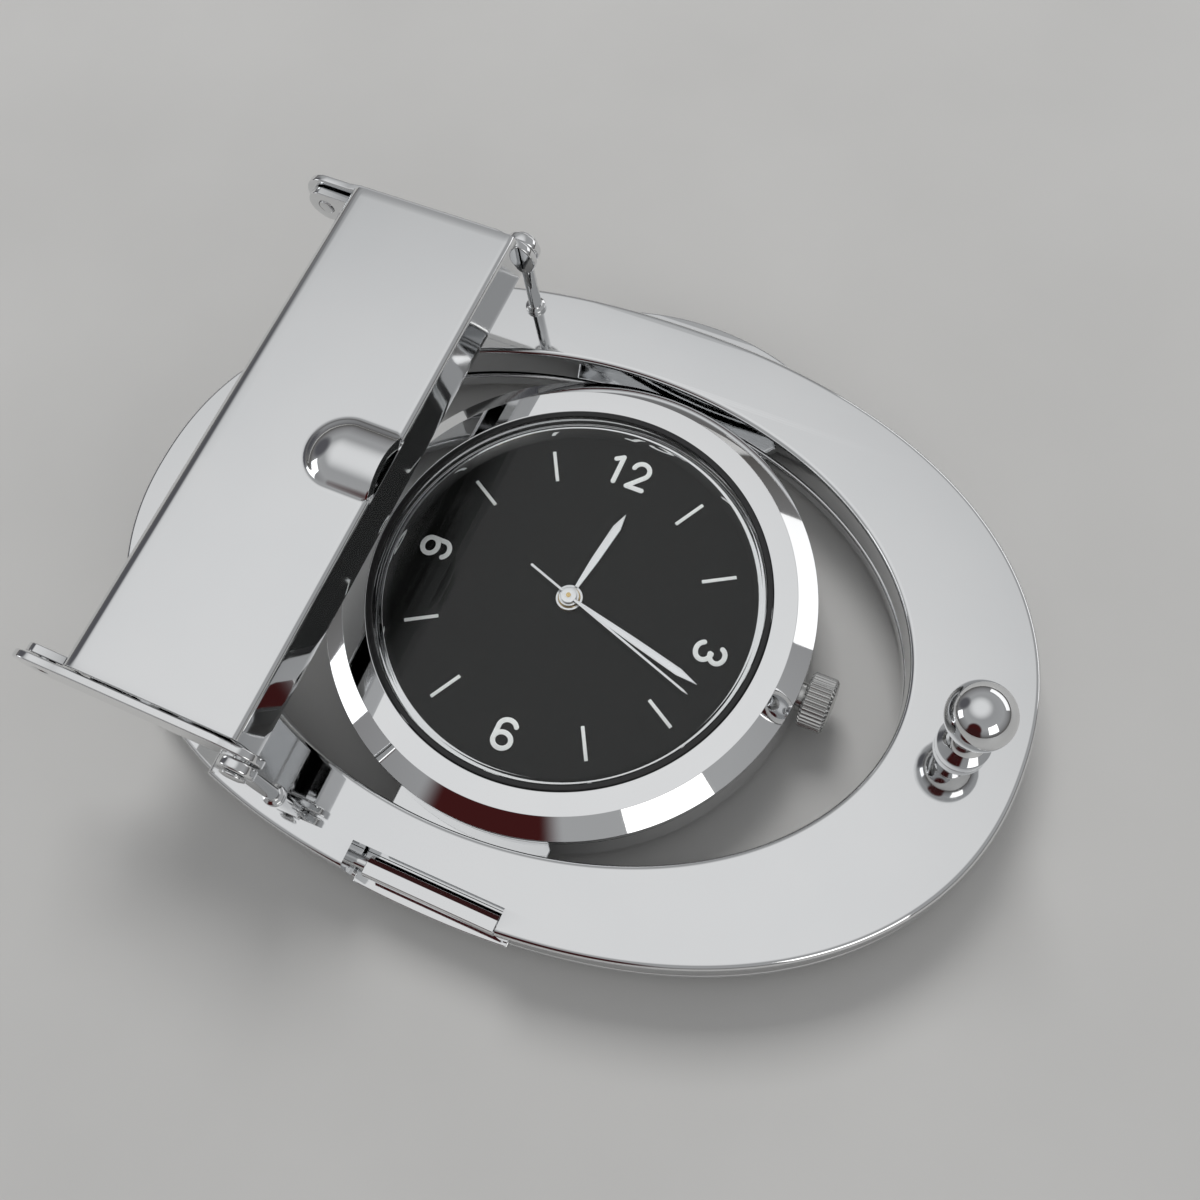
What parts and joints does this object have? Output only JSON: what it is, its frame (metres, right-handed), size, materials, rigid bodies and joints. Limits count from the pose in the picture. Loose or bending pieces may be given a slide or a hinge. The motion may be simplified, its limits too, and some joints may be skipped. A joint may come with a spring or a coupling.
{
  "type": "belt buckle watch",
  "caption": "Mirror-polished oval belt buckle with a hinged front ring carrying a round analogue quartz watch, a ball stud and a swinging strap clamp.",
  "frame": {"origin": "centre of the case back's outer face, on the watch axis", "axes": "+X to 3 o'clock and the ball stud, +Y to 12 o'clock and the thumb lip, +Z out of the dial"},
  "size_m": [0.0706, 0.052, 0.0179],
  "materials": {
    "polished": "mirror polished",
    "pins": "turned",
    "steel": "satin",
    "crystal": "clear",
    "dial": "matt charcoal",
    "print": "pale grey print",
    "hands": "white lacquer",
    "seal": "black",
    "plastic": "moulded",
    "brass": "gilt",
    "board": "solder mask",
    "copper": "enamelled wire",
    "magnet": "sintered"
  },
  "bodies": {
    "watch": {"front_ring": "polished", "hinge_leaf": "polished", "thumb_lip": "polished", "case": "polished", "bezel": "polished", "crystal_gasket": "seal", "crystal": "crystal", "rehaut": "polished", "dial": "dial", "hour_bars": "print", "numerals": "print", "caseback": "steel", "caseback_gasket": "seal", "case_tube": "pins", "movement_ring": "plastic", "main_plate": "brass", "train_bridge": "brass", "circuit_board": "board", "battery": "steel", "battery_strap": "steel", "coil": "copper", "coil_core": "steel", "stator": "steel", "quartz_can": "steel", "chip": "seal"},
    "rotor": {"rotor": "magnet"},
    "fifth": {"fifth_wheel": "brass"},
    "third": {"third_wheel": "brass"},
    "minutes": {"centre_wheel": "brass", "minute_hand": "hands"},
    "seconds": {"seconds_wheel": "brass", "seconds_hand": "hands"},
    "motion_wheel": {"minute_wheel": "brass"},
    "hours": {"hour_wheel": "brass", "hour_hand": "hands"},
    "stem_seal": {"crown_gasket": "seal"},
    "crown": {"crown": "polished", "stem": "pins"},
    "back_frame": {"frame": "polished", "hinge_pin": "pins", "stud": "polished", "stud_collar": "polished", "post_upper": "polished", "post_lower": "polished"},
    "clamp": {"clamp_bracket": "polished", "pivot_pin_upper": "pins", "pivot_pin_lower": "pins", "lid_pin": "pins"},
    "lid": {"clamp_lid": "polished", "grip_strip": "steel"}
  },
  "joints": [
    {"name": "frame_hinge", "type": "hinge", "parent": "watch", "child": "back_frame", "pos_m": [0, -0.0231, 0.0043], "axis": [1, 0, 0], "range_deg": [0, 110]},
    {"name": "clamp_swing", "type": "hinge", "parent": "back_frame", "child": "clamp", "pos_m": [-0.0127, 0, 0.0137], "axis": [0, 1, 0], "range_deg": [-30, 120]},
    {"name": "lid_hinge", "type": "hinge", "parent": "clamp", "child": "lid", "pos_m": [-0.0286, 0, 0.0137], "axis": [0, -1, 0], "range_deg": [0, 75]},
    {"name": "seconds_spin", "type": "hinge", "parent": "watch", "child": "seconds", "pos_m": [0, 0, 0.005], "axis": [0, 0, -1], "continuous": true},
    {"name": "third_spin", "type": "hinge", "parent": "watch", "child": "third", "pos_m": [-0.00129, 0.0032, 0.0025], "axis": [0, 0, -1], "continuous": true},
    {"name": "minute_spin", "type": "hinge", "parent": "watch", "child": "minutes", "pos_m": [0, 0, 0.005], "axis": [0, 0, -1], "continuous": true},
    {"name": "motion_spin", "type": "hinge", "parent": "watch", "child": "motion_wheel", "pos_m": [-0.00282, -0.00103, 0.0038], "axis": [0, 0, -1], "continuous": true},
    {"name": "hour_spin", "type": "hinge", "parent": "watch", "child": "hours", "pos_m": [0, 0, 0.005], "axis": [0, 0, -1], "continuous": true},
    {"name": "fifth_spin", "type": "hinge", "parent": "watch", "child": "fifth", "pos_m": [-0.0018, -0.00256, 0.0025], "axis": [0, 0, -1], "continuous": true},
    {"name": "rotor_spin", "type": "hinge", "parent": "watch", "child": "rotor", "pos_m": [0.00015, -0.00393, 0.0025], "axis": [0, 0, -1], "continuous": true},
    {"name": "crown_pull", "type": "slide", "parent": "watch", "child": "stem_seal", "axis": [1, 0, 0], "range_m": [0, 0.0008]},
    {"name": "crown_turn", "type": "hinge", "parent": "stem_seal", "child": "crown", "pos_m": [0.0195, 0, 0.0033], "axis": [1, 0, 0], "continuous": true}
  ],
  "couplings": [
    {"joint": "third_spin", "follows": "seconds_spin", "ratio": -0.16667},
    {"joint": "minute_spin", "follows": "seconds_spin", "ratio": 0.016667},
    {"joint": "motion_spin", "follows": "seconds_spin", "ratio": -0.0055556},
    {"joint": "hour_spin", "follows": "seconds_spin", "ratio": 0.0013889},
    {"joint": "fifth_spin", "follows": "seconds_spin", "ratio": -5},
    {"joint": "rotor_spin", "follows": "seconds_spin", "ratio": 30}
  ]
}
